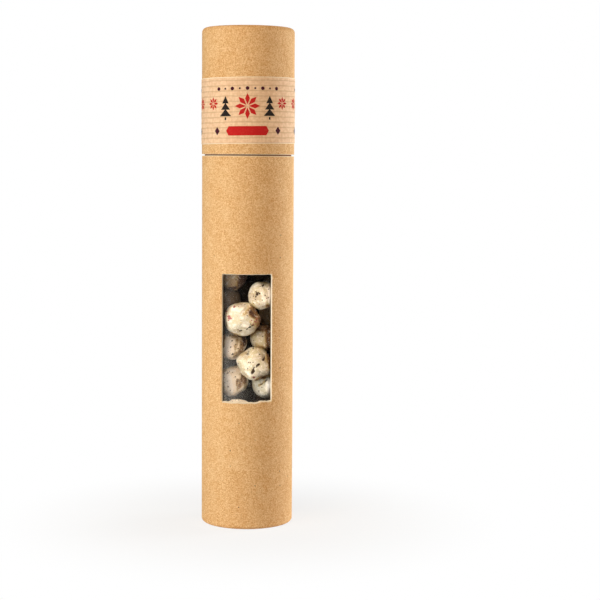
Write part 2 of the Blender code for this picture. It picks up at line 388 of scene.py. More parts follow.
def bandFinish(look, height):
    material, tree, shader = newFinish("bandPaper", roughness=0.8, specular=0.12)
    flat = axes(tree, addNode(tree, "ShaderNodeUVMap", uv_map="wrap").outputs["UV"])
    place = objectPoint(tree)
    blotch = grain(tree, place, look["blotchSize"], 3, 0.6)
    colour = blendColours(tree, spread(tree, blotch, 0.3, 0.75), look["shade"], look["ground"])
    sway = reckon(tree, grain(tree, place, look["swaySize"], 1), look["sway"], "MULTIPLY")
    rib = stripes(tree, flat["Y"], look["ribPitch"], sway, 0.45, 1.0)
    colour = blendColours(tree, reckon(tree, rib, look["ribShare"], "MULTIPLY"), colour, look["rib"])
    thread = stripes(tree, flat["X"], look["threadPitch"], sway, 0.2, 1.0)
    colour = blendColours(tree, reckon(tree, thread, look["threadShare"], "MULTIPLY"), colour, look["rib"])
    away = reckon(tree, reckon(tree, flat["Y"], -height / 2), 0, "ABSOLUTE")
    near = spread(tree, away, height / 2 - look["edgeWidth"], height / 2 - 0.4 * look["edgeWidth"])
    colour = blendColours(tree, near, colour, look["edge"])
    raised = reckon(tree, rib, -0.6, "MULTIPLY_ADD", blotch)
    coverWith(tree, shader, colour, raised, look["reliefDepth"])
    return material


# Inks: each one's colour, and the colour where the paper's grain shows through it
inkColours = {
    "redInk": ((0.58, 0.016, 0.016), (0.66, 0.06, 0.04)),
    "blackInk": ((0.016, 0.012, 0.011), (0.05, 0.032, 0.022)),
    "plumInk": ((0.060, 0.008, 0.020), (0.13, 0.03, 0.035)),
}
inkPrint = {"patchSize": 0.8 * mm, "wornShare": 0.5, "reliefDepth": 0.02 * mm}


def inkFinish(name, colour, worn, look):
    material, tree, shader = newFinish(name, roughness=0.8, specular=0.12)
    patchy = grain(tree, objectPoint(tree), look["patchSize"], 3, 0.6)
    shown = blendColours(tree, spread(tree, patchy, 0.45, 0.8, 0, look["wornShare"]), colour, worn)
    coverWith(tree, shader, shown, patchy, look["reliefDepth"])
    return material


# Clear film: lamps pass it, it mirrors the studio faintly, and a diffuse haze low on the left is a painted
# reflection of the studio, with a little painted light lower down
clearFilm = {
    "tint": (0.98, 0.93, 0.87, 1.0),
    "lampTint": (0.94, 0.95, 0.95, 1.0),
    "clearness": 0.98,  # the socket's own value, beside the haze's link; for tools that don't follow the haze
    "index": 1.04,
    "roughness": 0.08,
    "gloss": 0.035,
    "glossRoughness": 0.3,
    "hazeNoiseSize": 5 * mm,
    "reflectionHaze": 0.05,
    "reflectionHazeAcross": (4.0 * mm, -12.5 * mm),
    "reflectionHazeUp": (118 * mm, 70 * mm),
    "reflectionHazeShares": (0.05, 0.9),  # of the haze, at those two heights
    "settled": 0.009,
    "settledUp": (86 * mm, 76 * mm),
}


def filmFinish(look):
    material, tree, shader = newFinish("clearFilm", look["roughness"], specular=0.5)
    shader.inputs["Base Color"].default_value = look["tint"]
    shader.inputs["IOR"].default_value = look["index"]
    shader.inputs["Coat Weight"].default_value = look["gloss"]
    shader.inputs["Coat Roughness"].default_value = look["glossRoughness"]
    split = axes(tree, objectPoint(tree))
    hazeNoise = grain(tree, objectPoint(tree, (1, 1, 0.45)), look["hazeNoiseSize"], 3, 0.6, 0.5)
    # The haze is a painted reflection of the studio: strongest on the left and low down, with a faint
    # painted light at the bottom
    reflectionHaze = reckon(tree, spread(tree, split["X"], *look["reflectionHazeAcross"]), hazeNoise, "MULTIPLY")
    lower = spread(tree, split["Z"], *look["reflectionHazeUp"], *look["reflectionHazeShares"])
    reflectionHaze = reckon(tree, reflectionHaze, lower, "MULTIPLY")
    settled = spread(tree, split["Z"], *look["settledUp"], 1.0, 1.0 - look["settled"])
    clear = reckon(tree, reflectionHaze, -2 * look["reflectionHaze"], "MULTIPLY_ADD", settled)
    shader.inputs["Transmission Weight"].default_value = look["clearness"]
    tree.links.new(clear, shader.inputs["Transmission Weight"])
    lamps = addNode(tree, "ShaderNodeLightPath").outputs["Is Shadow Ray"]
    passing = addNode(tree, "ShaderNodeBsdfTransparent", {"Color": look["lampTint"]})
    both = addNode(tree, "ShaderNodeMixShader", {0: lamps, 1: shader.outputs[0], 2: passing.outputs[0]})
    tree.links.new(both.outputs[0], tree.nodes["Material Output"].inputs["Surface"])
    return material


# Sweet coating: cream, with painted shade in its hollows, painted light and shade per sweet and along
# strokes, and blushes, freckles and dark fruit in the cracks
sweetCoating = {
    "cream": (0.487, 0.428, 0.285),
    "white": (0.60, 0.557, 0.475),
    # Pale coat colour, also used to paint light and highlights
    "milkAndHighlight": (0.95, 0.87, 0.765),
    # The next five colours paint a highlight and shades; the olive one also tints the fine grain
    "pearlHighlight": (0.97, 0.95, 0.94),
    "oliveAndShade": (0.48, 0.350, 0.140),
    "tan": (0.23, 0.115, 0.044),
    "darkShade": (0.060, 0.026, 0.018),
    "dimShade": (0.42, 0.26, 0.115),
    "pink": (0.76, 0.52, 0.39),
    "berry": (0.28, 0.050, 0.060),
    "fruit": (0.045, 0.024, 0.012),
    # Near-black painted shade for the sweets far back
    "deep": (0.027, 0.0165, 0.009),
    "broadSize": 4.5 * mm,
    "mottleSize": 1.7 * mm,
    "fineSize": 0.8 * mm,
    "berryFlecks": (2.1 * mm, 0.20, 0.24),
    "fruitFlecks": (1.75 * mm, 0.29, 0.36),
    "reliefDepth": 0.07 * mm,
}

# Its coats in order: the mark that each follows, where it starts and where it is full, its share there, its
# colour, and how it mixes
coats = (
    ("rosy", 0.56, 0.76, 0.40, "pink", "MIX"),
    # Rows of painted light: shade in the hollows, then light and shade per sweet, then highlights and shade
    # along the strokes
    ("hollowShade", 0.25, 1.2, 0.35, "tan", "MIX"),
    ("sweetLightShade", 0, -1, 0.9, "milkAndHighlight", "MIX"),
    ("sweetLightShade", 0, 1, 0.8, "dimShade", "MIX"),
    ("strokeLightShade", -0.2, -1.0, 0.9, "milkAndHighlight", "MIX"),
    ("strokeLightShade", -1.1, -1.9, 0.9, "pearlHighlight", "MIX"),
    ("strokeLightShade", 0.10, 0.70, 0.75, "oliveAndShade", "MIX"),
    ("strokeLightShade", 0.50, 1.25, 0.92, "tan", "MIX"),
    ("strokeLightShade", 1.15, 2.3, 0.95, "darkShade", "MIX"),
    ("mottle", 0.54, 0.66, 0.45, "milkAndHighlight", "LIGHTEN"),
    ("fine", 0.46, 0.30, 0.35, "oliveAndShade", "MULTIPLY"),
    ("blush", 0.25, 0.70, 0.9, "berry", "MIX"),
)


def coatingFinish(look, coats):
    material, tree, shader = newFinish("sweetCoating", roughness=0.62, specular=0.2)
    place = objectPoint(tree)
    broad = grain(tree, place, look["broadSize"], 3, 0.55, 0.6)
    fine = grain(tree, place, look["fineSize"], 3, 0.6)
    mottle = grain(tree, place, look["mottleSize"], 3, 0.65, 0.4)
    rosy = grain(tree, objectPoint(tree, (1, 1.1, 0.9)), look["broadSize"], 3, 0.6, 1)
    crust = reckon(tree, reckon(tree, broad, mottle), 0.5, "MULTIPLY")
    colour = blendColours(tree, spread(tree, crust, 0.38, 0.60), look["cream"], look["white"])
    marks = {name: addNode(tree, "ShaderNodeAttribute", attribute_name=name).outputs["Fac"]
             for name in ("hollowShade", "sweetLightShade", "blush", "strokeLightShade", "crack")}
    # The hollows' painted shade, the strokes' painted light and shade, the blushes and the cracks are each
    # broken up by noise
    for name, noise, weight in (("hollowShade", fine, 0.5), ("strokeLightShade", rosy, 1.4), ("strokeLightShade", fine, 0.5),
                                ("blush", fine, 0.9), ("crack", fine, 1.6)):
        marks[name] = reckon(tree, noise, weight, "MULTIPLY_ADD", reckon(tree, marks[name], -weight / 2))
    marks.update(rosy=rosy, mottle=mottle, fine=fine)
    for mark, start, full, most, over, kind in coats:
        share = spread(tree, marks[mark], start, full, 0, most)
        colour = blendColours(tree, share, colour, look[over], kind)
    pitted = objectPoint(tree, (1.1, 1, 1.2))
    colour = blendColours(tree, flecks(tree, place, *look["berryFlecks"]), colour, look["berry"])
    colour = blendColours(tree, flecks(tree, pitted, *look["fruitFlecks"]), colour, look["fruit"])
    colour = blendColours(tree, spread(tree, marks["crack"], 0.30, 0.85), colour, look["fruit"])
    # Sweets far back get near-black painted shade
    colour = blendColours(tree, spread(tree, marks["sweetLightShade"], 1, 2), colour, look["deep"])
    raised = reckon(tree, mottle, 2.0, "MULTIPLY_ADD", fine)
    coverWith(tree, shader, colour, raised, look["reliefDepth"])
    return material


# Board tubes

boardEdges = {
    "wall": 1.2 * mm,
    "land": 0.8 * mm,  # width of the turned-in edge that is pressed flat
    "leg": 0.4 * mm,
    "rimEase": 0.25 * mm,
    "arcSteps": 8,
    "easeSteps": 4,
    "columns": 288,
}


# Section of a wall: up the outside at these levels, over the eased rim and down the inside. Returns the
# points and the first row of the rim and of the inside
def wallSection(outer, inner, top, levels, ease, steps):
    rim = np.vstack([
        arc(outer - ease, top - ease, ease, 0, 90, steps),
        arc(inner + ease, top - ease, ease, 90, 180, steps),
    ])[1:-1]
    up = np.column_stack([np.full(len(levels), outer), levels])
    down = np.column_stack([np.full(len(levels), inner), levels[::-1]])
    return np.vstack([up, rim, down]), len(levels), len(levels) + len(rim)


# The same for a tube whose bottom edge is turned in: the section goes on round that edge, back to its start
def curledSection(radius, curl, height, levels, look):
    wall = look["wall"]
    steps = look["arcSteps"]
    outer = radius - curl
    inner = outer - look["land"]
    fold = curl - wall
    section, rimRow, insideRow = wallSection(radius, radius - wall, height, levels, look["rimEase"],
                                             look["easeSteps"])
    turnedIn = np.vstack([
        arc(outer, curl, fold, 0, -90, steps)[1:],
        arc(inner, curl, fold, -90, -180, steps),
        [[inner - fold, curl + look["leg"]], [inner - curl, curl + look["leg"]]],
        arc(inner, curl, curl, -180, -90, steps),
        arc(outer, curl, curl, -90, 0, steps)[:-1],
    ])
    return np.vstack([section, turnedIn]), rimRow, insideRow


bodyTube = {
    "curl": 1.8 * mm,
    "windowWidth": 27.0 * mm,
    "windowHeight": 69.0 * mm,
    "filmMargin": 6.0 * mm,  # how far the film reaches past the window all round
    "windowCorner": 0.8 * mm,
    "sillLift": 0.45 * mm,
    "sillStep": 0.6 * mm,  # the cut wanders up by this much on its right
    "sillStepAt": 6.3 * mm,
    "sillStepRun": 0.8 * mm,
    "wander": ((0.10 * mm, 23, 0), (0.06 * mm, 61, 1)),  # ripples of the sill's cut: height, rate and start
    "topWanderShare": 0.4,
    "cutBulge": 0.10 * mm,
    "cutSteps": (0.12, 0.5, 0.88),
    "cutSlant": (0.70 * mm, 0.35 * mm),  # how far the outer edge stands back, at sill and top
    "levelStep": 2.4 * mm,
}


# How far a rounded corner stands into the opening at this distance from the corner
def cornerFill(distance, corner):
    near = np.clip(distance, corner * (1 - math.sqrt(0.5)), corner)
    return corner - np.sqrt(corner**2 - (corner - near) ** 2)


def spaced(start, end, step):
    return np.linspace(start, end, max(2, round((end - start) / step) + 1))


# Stops along one side of the window: fine ones in the two rounded corners, even ones between
def windowStops(length, corner, step):
    fine = corner * (1 - np.cos(np.radians([60, 75, 90])))
    even = spaced(corner, length - corner, step)
    return np.concatenate([[0], fine[:-1], even, length - fine[:-1][::-1], [length]])


def buildBodyTube(kraft, cut, lining, look, edges):
    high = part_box("body_tube")[1]
    filmLow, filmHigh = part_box("window_film")
    radius = high.x
    sill = filmLow.z + look["filmMargin"]
    top = filmHigh.z - look["filmMargin"]
    corner = look["windowCorner"]
    half = math.asin(look["windowWidth"] / 2 / radius)
    step = math.tau * radius / edges["columns"]

    across = windowStops(2 * half * radius, corner, step)
    windowAngles = across / radius - half
    outside = np.linspace(half, math.tau - half, edges["columns"] - len(across) // 2)[1:-1]
    angles = np.concatenate([windowAngles, outside])
    upWindow = windowStops(top - sill, corner, look["levelStep"]) + sill
    levels = np.concatenate([
        spaced(look["curl"], sill, look["levelStep"])[:-1],
        upWindow,
        spaced(top, high.z - edges["rimEase"], look["levelStep"])[1:],
    ])
    section, rimRow, insideRow = curledSection(radius, look["curl"], high.z, levels, edges)
    rows = len(section)
    columns = len(angles)
    ids = np.arange(rows * columns).reshape(rows, columns)
    radii = np.repeat(section[:, :1], columns, axis=1)
    heights = np.repeat(section[:, 1:], columns, axis=1)
    turns = np.repeat(angles[None], rows, axis=0)

    lowRow = int(np.argmin(abs(levels - sill)))
    highRow = int(np.argmin(abs(levels - top)))
    lastColumn = len(across) - 1
    insideLow = insideRow + len(levels) - 1 - lowRow
    insideHigh = insideRow + len(levels) - 1 - highRow
    sideways = cornerFill(np.minimum(across, across[-1] - across), corner)
    upwards = cornerFill(np.minimum(upWindow - sill, top - upWindow), corner)
    wander = sum(tall * np.sin(windowAngles * rate + start) for tall, rate, start in look["wander"])
    x = radius * np.sin(windowAngles)
    rise = look["sillStep"] * 0.5 * (1 + np.tanh((x - look["sillStepAt"]) / look["sillStepRun"]))
    for sillRow, topRow in ((lowRow, highRow), (insideLow, insideHigh)):
        heights[sillRow, :lastColumn + 1] += sideways + wander + rise + look["sillLift"]
        heights[topRow, :lastColumn + 1] -= sideways + look["topWanderShare"] * wander
        if sillRow == lowRow:
            heights[sillRow, :lastColumn + 1] -= look["cutSlant"][0]
            heights[topRow, :lastColumn + 1] += look["cutSlant"][1]
        sides = slice(sillRow, topRow + 1) if sillRow < topRow else slice(sillRow, topRow - 1, -1)
        turns[sides, 0] += upwards / radius
        turns[sides, lastColumn] -= upwards / radius
    points = roundTube(radii, turns, heights).reshape(-1, 3)

    cells = gridCells(rows, columns, closeRows=True, closeColumns=True).reshape(rows, columns, 4)
    kept = np.ones((rows, columns), bool)
    kept[lowRow:highRow, :lastColumn] = False
    kept[insideHigh:insideLow, :lastColumn] = False
    part = np.zeros((rows, 1), int)
    part[rimRow:insideRow - 1] = 1
    part[insideRow - 1:insideRow + len(levels) - 1] = 2
    skin, rim, inside = (cells[kept & (part == which)] for which in range(3))

    # Cut face of the window: straight lines from the outer edge to the inner one, swollen a little between
    outerEdge = blockEdge(ids, (lowRow, highRow), (0, lastColumn))
    innerEdge = blockEdge(ids[insideHigh:insideLow + 1][::-1], (0, highRow - lowRow), (0, lastColumn))
    share = np.array(look["cutSteps"])[:, None, None]
    between = points[outerEdge] * (1 - share) + points[innerEdge] * share
    middle = np.array([0, -radius * math.cos(half / 2), (sill + top) / 2])
    towards = middle - between
    towards[..., 1] = 0
    towards /= np.array([look["windowWidth"], 1, look["windowHeight"]])
    towards /= np.linalg.norm(towards, axis=-1, keepdims=True)
    between += towards * look["cutBulge"] * np.sin(math.pi * share)
    fresh = len(points) + np.arange(share.size * len(outerEdge)).reshape(share.size, -1)
    stripIds = np.vstack([outerEdge, fresh, innerEdge])
    strip = stripIds.ravel()[gridCells(len(stripIds), len(outerEdge), closeColumns=True)]
    points = np.concatenate([points, between.reshape(-1, 3)])
    groups = [skin, rim, inside, strip]
    makePiece("bodyTube", points, groups, [kraft, cut, lining, cut], "tube", ["body_tube"])
    print("body tube", len(points), "points")


capTube = {"curl": 2.6 * mm, "levelStep": 2.4 * mm}


def buildCapTube(kraft, cut, look, edges):
    low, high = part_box("cap_sleeve")
    height = high.z - low.z
    levels = spaced(look["curl"], height - edges["rimEase"], look["levelStep"])
    section, rimRow, insideRow = curledSection(high.x, look["curl"], height, levels, edges)
    section[:, 1] = high.z - section[:, 1]
    points, cells = turnedShape(section, edges["columns"])
    cells = cells[..., ::-1]
    rim = slice(rimRow, insideRow - 1)
    groups = [np.delete(cells, rim, axis=0), cells[rim]]
    makePiece("capTube", points, groups, [kraft, cut], "cap", ["cap_sleeve"])
    print("cap tube", len(points), "points")


neckTube = {"wall": 1.0 * mm, "ease": 0.3 * mm, "levels": 20}


def buildNeck(board, cut, lining, look, edges):
    low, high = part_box("neck_liner")
    ease = look["ease"]
    levels = np.linspace(low.z, high.z - ease, look["levels"])
    section, rimRow, insideRow = wallSection(high.x, high.x - look["wall"], high.z, levels, ease,
                                             edges["easeSteps"])
    points, cells = turnedShape(section, edges["columns"])
    cutRows = np.concatenate([cells[rimRow:insideRow - 1], cells[-1:]])
    groups = [cells[:rimRow], cutRows, cells[insideRow - 1:-1]]
    makePiece("neckTube", points, groups, [board, cut, lining], "tube", ["neck_liner"])
    print("neck tube", len(points), "points")


discLook = {"ease": 0.3 * mm, "rings": 12, "dish": 0.08 * mm}


# A disc is its section, from the bottom's middle out over the eased edge to the top's middle, carried round
def buildDisc(name, node, body, board, cut, look, edges):
    low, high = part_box(node)
    radius = high.x
    ease = look["ease"]
    out = np.linspace(0, radius - ease, look["rings"])[1:]
    dish = look["dish"] * (1 - (out / radius) ** 2)
    edge = np.vstack([
        arc(radius - ease, low.z + ease, ease, -90, 0, edges["easeSteps"])[1:],
        arc(radius - ease, high.z - ease, ease, 0, 90, edges["easeSteps"])[:-1],
    ])
    section = np.vstack([
        np.column_stack([out, low.z + dish]),
        edge,
        np.column_stack([out, high.z - dish])[::-1],
    ])
    points, cells = turnedShape(section, edges["columns"], closed=False)
    points = np.vstack([points, [[0, 0, low.z + look["dish"]], [0, 0, high.z - look["dish"]]]])
    easedEdge = slice(len(out), len(out) + len(edge) - 1)
    fans = poleFans(len(section), edges["columns"])
    groups = [np.delete(cells, easedEdge, axis=0), cells[easedEdge], fans]
    makePiece(name, points, groups, [board, cut, board], body, [node])
    print(name, len(points), "points")


filmSheet = {
    "thickness": 0.3 * mm,
    "columns": 96,
    "rows": 90,
    "ripple": 0.05 * mm,
    "aroundRates": (7, 13),  # of the ripples, per radian
    "upRates": (90, 160, 45),  # of the ripples, in radians per metre
}


# Film: a stretch of a cylinder whose radius ripples with slow waves along both directions
def buildFilm(film, look):
    low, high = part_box("window_film")
    radius = -low.y
    half = math.asin(min(1, high.x / radius))
    angle = np.linspace(-half, half, look["columns"])[None]
    height = np.linspace(low.z, high.z, look["rows"])[:, None]
    broad, narrow = look["aroundRates"]
    slanted, level, counter = look["upRates"]
    ripple = np.sin(angle * broad + height * slanted) * np.sin(height * level + 2)
    ripple = ripple + np.sin(angle * narrow - height * counter)
    sunk = look["ripple"] * (0.5 - 0.25 * ripple)
    front = roundTube(radius - sunk, angle, height)
    back = roundTube(radius - sunk - look["thickness"], angle, height)
    points, cells = closedShell(front, back)
    makePiece("windowFilm", points, cells, [film] * 3, "tube", ["window_film"])
    print("film", len(points), "points")


# Printed band

band = {
    "thickness": 0.15 * mm,
    "lap": 10.0 * mm,
    "step": 5.0,  # degrees over which the paper climbs onto its own start
    "gap": 0.1 * mm,
    "columns": 320,
    "rows": 104,
    "ribDepth": 0.035 * mm,
    "below": 0.2 * mm,
    "above": 0.6 * mm,
    "lean": 0.35 * mm,  # how much higher the band sits at its right side, and lower at its left
    "inkLift": 0.03 * mm,
    "inkStep": 0.9 * mm,
}


# Band: a strip wound once round the cap from the back; its radius steps out where it laps over its start,
# ribs run along it as a cosine of the height, and it leans by the sine of the angle
def buildBand(paper, look):
    low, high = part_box("label_band")
    height = high.z + look["above"] - low.z + look["below"]
    under = -low.y - look["thickness"]
    over = under + look["thickness"] + look["gap"]
    end = math.pi + look["lap"] / over
    angle = np.linspace(-math.pi, end, look["columns"])[None]
    climb = np.clip((np.degrees(angle) - 180 + look["step"]) / look["step"], 0, 1)
    radius = under + (over - under) * climb * climb * (3 - 2 * climb)
    up = np.linspace(0, height, look["rows"])[:, None]
    rib = look["ribDepth"] * 0.5 * (1 - np.cos(up * math.tau / bandPaper["ribPitch"]))
    face = radius + look["thickness"]
    level = low.z - look["below"] + up + look["lean"] * np.sin(angle)
    front = roundTube(face - rib, angle, level)
    back = roundTube(radius + 0 * up, angle, level)
    points, cells = closedShell(front, back)
    flat = np.stack(np.broadcast_arrays(angle * (under + look["thickness"]), up), axis=-1).reshape(-1, 2)
    makePiece("paperBand", points, cells, [paper] * 3, "cap", ["label_band"],
              wrap=np.concatenate([flat, flat]))
    print("band", len(points), "points")


ornament = {
    "repeats": 3,
    "starSize": 6.8 * mm,
    "starHeight": 19.6 * mm,
    "sideStarSize": 3.6 * mm,
    "sideStarAt": 20.5 * mm,
    "sideStarHeight": 21.1 * mm,
    "treeAt": 12.2 * mm,
    "treeHeight": 12.6 * mm,
    "treeFoot": 12.4 * mm,
    "panelWidth": 20.6 * mm,
    "panelHeight": 4.9 * mm,
    "panelMiddle": 6.6 * mm,
    "panelPointShare": 0.6,
    "diamondAt": 17.5 * mm,
    "diamondSize": (1.7 * mm, 2.21 * mm),
    "berrySizes": (0.975 * mm, 0.525 * mm),
    "berryHeight": 29.0 * mm,
    "berrySag": 0.06 * mm,  # from each berry of the row to the next, away from the middle one
    "berryPitch": 4.1 * mm,
    "berriesAside": 4,
}

# Shares of a star's size where its petals start and are widest, and their half width
petalShares = (0.10, 0.595, 0.19)

# Shares of a fir's height: base, top and half width of its tiers, then the stem's half width and height
firTiers = ((0.155, 0.46, 0.27), (0.425, 0.72, 0.215), (0.69, 1.0, 0.155))
firStem = (0.035, 0.11)


# Stops along the straight edges between corners, so that a shape can follow the round cap
def alongEdges(corners, steps=6):
    corners = np.asarray(corners, float)
    share = np.linspace(0, 1, steps, endpoint=False)[None, :, None]
    ahead = np.roll(corners, -1, axis=0)
    return (corners[:, None] * (1 - share) + ahead[:, None] * share).reshape(-1, 2)


# Eight-petalled star: kites that point along and between the axes
def starPetals(centre, size):
    start, belly, width = (share * size for share in petalShares)
    petals = []
    for k in range(8):
        along = np.array([math.cos(k * math.pi / 4), math.sin(k * math.pi / 4)])
        side = width * np.array([-along[1], along[0]])
        corners = [along * start, along * belly - side, along * size, along * belly + side]
        petals.append(alongEdges(np.array(centre) + corners))
    return petals


# Small fir: three triangles above each other and a stem
def smallFir(foot, height):
    shapes = [alongEdges(np.array([(-width, base), (width, base), (0, top)]) * height + foot)
              for base, top, width in firTiers]
    width, top = firStem
    stem = [(-width, 0), (width, 0), (width, top), (-width, top)]
    return shapes + [alongEdges(np.array(stem) * height + foot, 2)]


def disc2d(centre, size, steps=20):
    turn = np.linspace(0, math.tau, steps, endpoint=False)
    return np.array(centre) + size * np.column_stack([np.cos(turn), np.sin(turn)])


# Ink patches: each outline is drawn in to its middle in rings, and laid on the band at one radius
def buildInk(name, outlines, ink, look):
    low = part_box("label_band")[0]
    radius = -low.y + look["inkLift"]
    pointSets = []
    quads = []
    fans = []
    count = 0
    for outline in outlines:
        middle = outline.mean(axis=0)
        rings = max(3, math.ceil(np.ptp(outline[:, 0]) / 2 / look["inkStep"]))
        share = np.linspace(1, 0, rings, endpoint=False)[:, None, None]
        patch = np.vstack([(middle + (outline - middle) * share).reshape(-1, 2), middle])
        size = len(outline)
        inner = (rings - 1) * size + np.arange(size)
        quads.append(gridCells(rings, size, closeColumns=True) + count)
        fans.append(np.column_stack([inner, np.roll(inner, -1), np.full(size, rings * size)]) + count)
        turn = patch[:, 0] / radius
        pointSets.append(roundTube(radius, turn, low.z + patch[:, 1] + look["lean"] * np.sin(turn)))
        count += len(patch)
    points = np.concatenate(pointSets)
    makePiece(name, points, [np.concatenate(quads), np.concatenate(fans)], [ink, ink], "cap")


def buildOrnament(inks, look, bandLook):
    radius = -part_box("label_band")[0].y + bandLook["inkLift"]
    red, black, plum = [], [], []
    half = look["panelWidth"] / 2
    deep = look["panelHeight"] / 2
    tip = half + deep * look["panelPointShare"]
    panel = np.array([(-half, -deep), (half, -deep), (tip, 0), (half, deep), (-half, deep), (-tip, 0)])
    diamond = np.array([(-1, 0), (0, -1), (1, 0), (0, 1)]) * look["diamondSize"]
    for repeat in range(look["repeats"]):
        middle = math.tau * radius * (repeat / look["repeats"])
        red += starPetals((middle, look["starHeight"]), look["starSize"])
        red.append(alongEdges(panel + (middle, look["panelMiddle"]), 20))
        for side in (-1, 1):
            starCentre = (middle + side * look["sideStarAt"], look["sideStarHeight"])
            red += starPetals(starCentre, look["sideStarSize"])
            black += smallFir((middle + side * look["treeAt"], look["treeFoot"]), look["treeHeight"])
            plum.append(alongEdges(diamond + (middle + side * look["diamondAt"], look["panelMiddle"])))
        for k in range(-look["berriesAside"], look["berriesAside"] + 1):
            centre = (middle + k * look["berryPitch"], look["berryHeight"] - look["berrySag"] * abs(k))
            plum.append(disc2d(centre, look["berrySizes"][k % 2]))
    for name, outlines in (("redInk", red), ("blackInk", black), ("plumInk", plum)):
        buildInk(name, outlines, inks[name], bandLook)
        print(name, len(outlines), "patches")


# Sweets

sweets = {
    "lump": (0.040, 2.3),  # share of the ball's size, and how many waves stand round it
    "knob": (0.022, 5.5),
    "crumb": (0.006, 15.0),
    "dents": 4,
    "dentDepth": 0.040,
    "dentWidth": 0.40,
    "frontGrid": (120, 220),
    "backGrid": (40, 72),
    "crackDepth": 0.30 * mm,
    "hollowShadeLump": 0.3,
    "hollowShadeMost": 1.2,
    "frontCount": 10,  # the first ones show in the window
    "turnedAway": 0.3,  # marks end where the surface looks this much away from the window
    "swellFade": 0.6,
    "strokeFull": {"crack": 0.6, "blush": 0.6, "strokeLightShade": 0.3},
    # Painted light and shade for each sweet: below zero a paler coat stands in for light, above zero a
    # dimmer and then near-black one for shade; the sweets behind the front ones all get painted shade
    "sweetLightShades": {"treat_01": -0.8, "treat_03": -1.0, "treat_04": 0.2, "treat_05": -0.9, "treat_06": 0.45,
              "treat_08": 1.68, "treat_09": 0.3, "treat_10": 1.40, "treat_31": 1.55},
    "frontLightShade": 0.0,
    "hiddenSweetShade": 1.85,
    "plump": 1.045,  # those in the window fill a little more than their CAD ball
    "boreRadius": 22.9 * mm,
}

# Marks that show in the window, as strokes: across and up of one end, then of the other, half width, all in
# millimetres, and depth
cracks = (
    (5.3, 127.8, 5.4, 127.1, 0.62, 1), (4.8, 126.2, 4.7, 125.8, 0.34, 0.9),
    (6, 128.1, 6.8, 127.7, 0.5, 1), (4.8, 128.5, 4.7, 128.6, 0.3, 0.9), (9.7, 126.6, 9.9, 126.7, 0.3, 1),
    (11.5, 125.3, 11.7, 125.6, 0.3, 0.9), (8.3, 131.7, 9, 132.3, 0.42, 0.8),
    (9.6, 132.5, 10.2, 132.2, 0.3, 0.6), (1.6, 117.4, 2.4, 116.8, 0.5, 0.5),
    (3.4, 114.8, 3.7, 114.6, 0.6, 0.6), (3.2, 118, 4.2, 117, 0.45, 0.5),
    (1.8, 109.8, 1.2, 109.1, 0.36, 1), (0.6, 108.5, 0.1, 108, 0.28, 0.9),
    (2.5, 110.3, 2.8, 110.5, 0.3, 1), (-3.8, 107.1, -2.9, 107.3, 0.48, 0.9),
    (-6.8, 120.2, -6.5, 120.6, 0.28, 0.6), (6.5, 89.7, 5.7, 89.2, 0.62, 1),
    (5.3, 88.9, 5.2, 88.8, 0.3, 0.9), (4.1, 88, 3.9, 87.3, 0.5, 0.75), (3.6, 86.4, 3.2, 85.5, 0.82, 1),
    (2.9, 84.9, 2.8, 84.6, 0.4, 0.8), (9.7, 93.1, 9.6, 92.9, 0.36, 0.9), (9.2, 92.3, 8.6, 91.7, 0.55, 1),
    (-0.3, 95.2, 0.3, 95.5, 0.46, 0.8), (0.6, 96.2, 0.8, 96.4, 0.3, 0.7),
    (3.3, 97.4, 3.6, 97.6, 0.32, 0.7), (6.7, 84, 6.8, 84.1, 0.3, 1), (7, 85.5, 7.1, 85.5, 0.27, 0.9),
    (3.7, 82.8, 4.2, 82.4, 0.32, 0.6), (1, 90.8, 1.1, 90.8, 0.27, 1), (3.4, 90.8, 3.5, 90.8, 0.27, 0.9),
    (0.4, 87.3, 0.5, 87.3, 0.27, 0.9), (6.7, 94.4, 6.8, 94.4, 0.3, 1),
    (-4.4, 89.4, -4.3, 89.4, 0.27, 0.9), (10.9, 79.6, 10, 78.7, 0.36, 0.6),
    (8.4, 77.5, 7.5, 77, 0.34, 0.6), (6.4, 76, 6, 75.9, 0.3, 0.6), (-8.8, 97.7, -8.6, 97.9, 0.3, 0.9),
    (-6.2, 99.1, -6, 99.2, 0.3, 0.9), (-3.5, 99.1, -3.3, 99.2, 0.3, 1),
    (-8.1, 94.4, -7.5, 94.6, 0.28, 0.8), (-8.3, 101, -8.1, 101.1, 0.3, 1), (-5, 96.9, -4.9, 97, 0.27, 1),
    (-4, 78.9, -4.2, 78.5, 0.34, 0.6), (-9.6, 83.9, -9.5, 83.9, 0.3, 0.6),
    (-10.4, 83, -10.2, 83.1, 0.3, 0.9), (-10.2, 76, -9.9, 76, 0.3, 0.8),
    (8.2, 124.2, 8.4, 124.2, 0.27, 0.8), (7.1, 131.2, 7.2, 131.2, 0.27, 0.8),
    (4.6, 124.4, 4.7, 124.5, 0.27, 0.8),
)
blushes = (
    (-9.9, 115, -9, 115.4, 0.42, 1), (-9.5, 114.1, -8.5, 114.4, 0.46, 1),
    (-9.8, 113.1, -9.5, 113.3, 0.3, 0.8), (-10.9, 117.4, -10.7, 117.5, 0.5, 0.7),
    (-6.9, 120, -6.6, 120.4, 0.45, 1), (2.2, 113.4, 2.4, 113.4, 0.3, 0.8),
    (3.6, 112.6, 3.8, 112.5, 0.32, 0.8), (2.9, 111.3, 3.1, 111.2, 0.3, 0.8),
    (4.3, 113.9, 4.4, 113.8, 0.28, 0.7), (3.6, 82.9, 4.1, 82.6, 0.5, 0.8),
    (-4, 112, -3.5, 111.9, 0.3, 0.4), (4.4, 110.9, 4.5, 110.8, 0.25, 0.7),
    (5.6, 133, 7.2, 133.1, 0.6, 0.3), (4.4, 116.2, 4.8, 115, 0.7, 0.25),
    (4, 112.8, 5.6, 110.4, 1.2, 0.15), (-4.6, 100.6, -3.2, 98.2, 1.3, 0.12),
)
